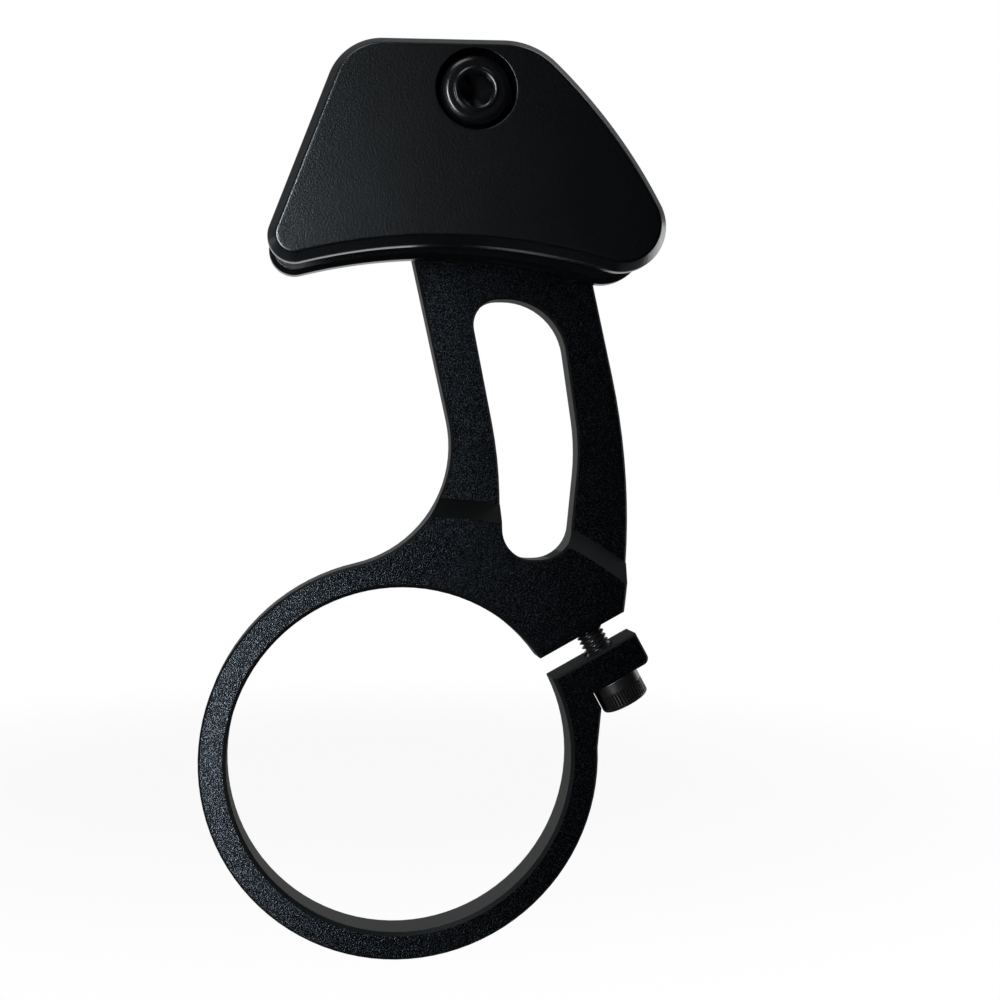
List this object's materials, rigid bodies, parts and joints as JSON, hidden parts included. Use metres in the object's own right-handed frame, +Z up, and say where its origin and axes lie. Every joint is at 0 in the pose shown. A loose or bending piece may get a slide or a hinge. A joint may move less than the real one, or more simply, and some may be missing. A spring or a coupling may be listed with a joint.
{
  "type": "bicycle chain guide",
  "caption": "Clamp-on upper chain guide: a split ring with a pinch screw carries a slotted arm, whose moulded cage straddles the chain.",
  "frame": {"origin": "on the axis of the clamp bore, halfway through the ring", "axes": "X right and Z up as the guide is seen from outside the bicycle, Y inboard along the clamp bore"},
  "size_m": [0.0632, 0.0235, 0.1241],
  "materials": {
    "anodised_aluminium": "bead-blasted, black anodised",
    "moulded_black": "fine moulded grain",
    "black_steel": "black oxide"
  },
  "bodies": {
    "root": {"clamp_arm": "anodised_aluminium", "clamp_screw": "black_steel", "inner_guide": "moulded_black", "outer_guide": "moulded_black", "guide_screw": "black_steel"}
  },
  "joints": []
}
